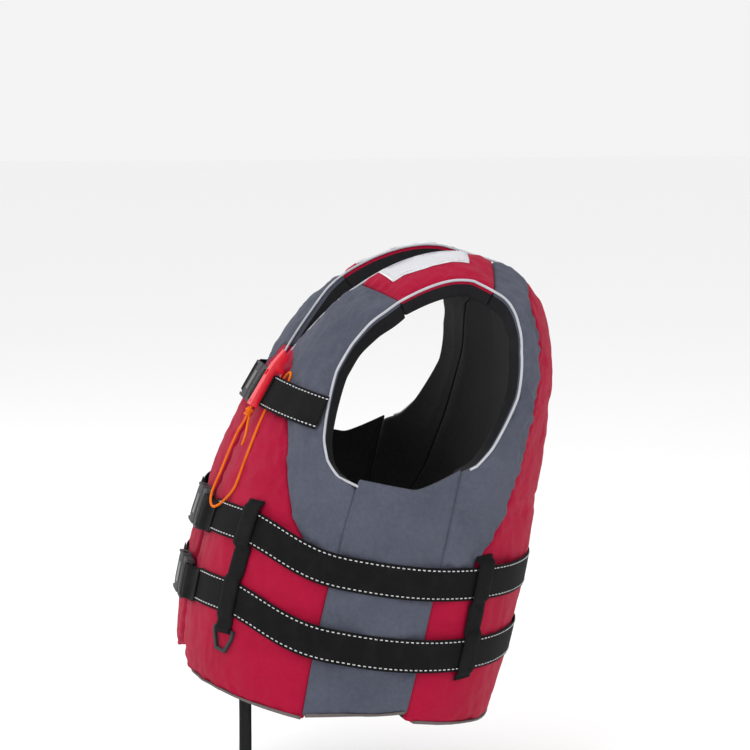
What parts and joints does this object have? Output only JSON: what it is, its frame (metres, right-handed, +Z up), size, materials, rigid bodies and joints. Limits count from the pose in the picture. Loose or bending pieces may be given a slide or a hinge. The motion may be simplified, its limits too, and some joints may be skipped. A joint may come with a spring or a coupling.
{
  "type": "life jacket",
  "caption": "Zipped foam buoyancy vest with waist and chest belts on side-release buckles, shoulder patches, a corded whistle and a crotch strap.",
  "frame": {"origin": "midway between the undersides of the two shoulder straps, where the wearer's shoulders or a rail hold it up", "axes": "+X the wearer's left, -Y the front, +Z up"},
  "size_m": [0.415, 0.4371, 0.6648],
  "materials": {
    "red_shell": "woven polyester, matte",
    "grey_shell": "woven polyester, matte",
    "webbing": "ribbed polypropylene webbing",
    "lining": "mesh lining",
    "foam": "closed-cell foam",
    "reflective": "reflective tape",
    "zip_tape": "zip tape with moulded teeth",
    "plastic": "moulded acetal",
    "whistle_plastic": "moulded",
    "cord": "braided"
  },
  "bodies": {
    "back": {"back_lining": "lining", "back_foam": "foam", "back_cover": "red_shell", "back_yoke_left": "grey_shell", "back_yoke_right": "grey_shell", "shoulder_lining_left": "lining", "shoulder_lining_right": "lining", "shoulder_foam_left": "foam", "shoulder_foam_right": "foam", "shoulder_cover_left": "red_shell", "shoulder_cover_right": "red_shell", "reflective_patch_left": "reflective", "reflective_patch_right": "reflective", "side_panel_left": "grey_shell", "side_panel_right": "grey_shell", "back_keeper_left": "webbing", "back_keeper_right": "webbing", "upper_belt_back": "webbing", "lower_belt_back": "webbing"},
    "front_left": {"front_lining_left": "lining", "front_foam_left": "foam", "front_cover_left": "red_shell", "front_yoke_left": "grey_shell", "upper_belt_front_left": "webbing", "lower_belt_front_left": "webbing", "chest_belt_left": "webbing", "front_keeper_left": "webbing", "zip_half_left": "zip_tape", "chest_buckle_male": "plastic", "upper_buckle_male": "plastic", "lower_buckle_male": "plastic", "whistle_cord": "cord"},
    "front_right": {"front_lining_right": "lining", "front_foam_right": "foam", "front_cover_right": "red_shell", "front_yoke_right": "grey_shell", "upper_belt_front_right": "webbing", "lower_belt_front_right": "webbing", "chest_belt_right": "webbing", "front_keeper_right": "webbing", "zip_half_right": "zip_tape", "chest_buckle_female": "plastic", "upper_buckle_female": "plastic", "lower_buckle_female": "plastic"},
    "chest_arm_top": {"chest_buckle_arm_top": "plastic"},
    "chest_arm_bottom": {"chest_buckle_arm_bottom": "plastic"},
    "upper_arm_top": {"upper_buckle_arm_top": "plastic"},
    "upper_arm_bottom": {"upper_buckle_arm_bottom": "plastic"},
    "lower_arm_top": {"lower_buckle_arm_top": "plastic"},
    "lower_arm_bottom": {"lower_buckle_arm_bottom": "plastic"},
    "zip_slider": {"zip_slider": "plastic"},
    "zip_pull": {"zip_pull": "plastic"},
    "whistle": {"whistle": "whistle_plastic"},
    "d_ring_left": {"d_ring_left": "plastic"},
    "d_ring_right": {"d_ring_right": "plastic"},
    "crotch_strap": {"crotch_strap": "webbing", "crotch_buckle_female": "plastic"}
  },
  "joints": [
    {"name": "front_left_swing", "type": "hinge", "parent": "back", "child": "front_left", "pos_m": [0.218, -0.11878, -0.31936], "axis": [-0.1868, 0.2312, 0.9548], "range_deg": [0, 60]},
    {"name": "front_right_swing", "type": "hinge", "parent": "back", "child": "front_right", "pos_m": [-0.218, -0.11878, -0.31936], "axis": [-0.1868, -0.2312, -0.9548], "range_deg": [0, 60]},
    {"name": "chest_arm_top_squeeze", "type": "hinge", "parent": "front_left", "child": "chest_arm_top", "pos_m": [0.006, -0.22523, -0.12073], "axis": [0, -0.8551, 0.5185], "range_deg": [0, 9], "stiffness_Nm_per_rad": 0.3},
    {"name": "chest_arm_bottom_squeeze", "type": "hinge", "parent": "front_left", "child": "chest_arm_bottom", "pos_m": [0.006, -0.23923, -0.14382], "axis": [0, -0.8551, 0.5185], "range_deg": [-9, 0], "stiffness_Nm_per_rad": 0.3},
    {"name": "upper_arm_top_squeeze", "type": "hinge", "parent": "front_left", "child": "upper_arm_top", "pos_m": [0.006, -0.29384, -0.26191], "axis": [0, -0.9488, 0.3158], "range_deg": [0, 9], "stiffness_Nm_per_rad": 0.3},
    {"name": "upper_arm_bottom_squeeze", "type": "hinge", "parent": "front_left", "child": "upper_arm_bottom", "pos_m": [0.006, -0.30237, -0.28753], "axis": [0, -0.9488, 0.3158], "range_deg": [-9, 0], "stiffness_Nm_per_rad": 0.3},
    {"name": "lower_arm_top_squeeze", "type": "hinge", "parent": "front_left", "child": "lower_arm_top", "pos_m": [0.006, -0.31676, -0.34105], "axis": [0, -0.9793, 0.2026], "range_deg": [0, 9], "stiffness_Nm_per_rad": 0.3},
    {"name": "lower_arm_bottom_squeeze", "type": "hinge", "parent": "front_left", "child": "lower_arm_bottom", "pos_m": [0.006, -0.32223, -0.36749], "axis": [0, -0.9793, 0.2026], "range_deg": [-9, 0], "stiffness_Nm_per_rad": 0.3},
    {"name": "zip_slide", "type": "hinge", "parent": "front_left", "child": "zip_slider", "pos_m": [0, 0.36872, -0.49667], "axis": [1, 0, 0], "range_deg": [0, 24.5]},
    {"name": "zip_pull_swing", "type": "hinge", "parent": "zip_slider", "child": "zip_pull", "pos_m": [0, -0.20655, -0.11395], "axis": [-1, 0, 0], "range_deg": [0, 20]},
    {"name": "whistle_slide", "type": "slide", "parent": "front_left", "child": "whistle", "axis": [-0.0411, 0.5083, 0.8602], "range_m": [0, 0.045]},
    {"name": "d_ring_left_swing", "type": "hinge", "parent": "front_left", "child": "d_ring_left", "pos_m": [0.13033, -0.29542, -0.38828], "axis": [-0.8473, -0.5175, 0.1195], "range_deg": [0, 110]},
    {"name": "d_ring_right_swing", "type": "hinge", "parent": "front_right", "child": "d_ring_right", "pos_m": [-0.13033, -0.29542, -0.38828], "axis": [-0.8473, 0.5175, -0.1195], "range_deg": [0, 110]},
    {"name": "crotch_strap_swing", "type": "hinge", "parent": "front_left", "child": "crotch_strap", "pos_m": [0.08776, -0.2668, -0.42475], "axis": [0.9154, 0.4026, 0], "range_deg": [0, 60]}
  ],
  "couplings": [
    {"joint": "chest_arm_bottom_squeeze", "follows": "chest_arm_top_squeeze", "ratio": -1},
    {"joint": "upper_arm_bottom_squeeze", "follows": "upper_arm_top_squeeze", "ratio": -1},
    {"joint": "lower_arm_bottom_squeeze", "follows": "lower_arm_top_squeeze", "ratio": -1}
  ]
}
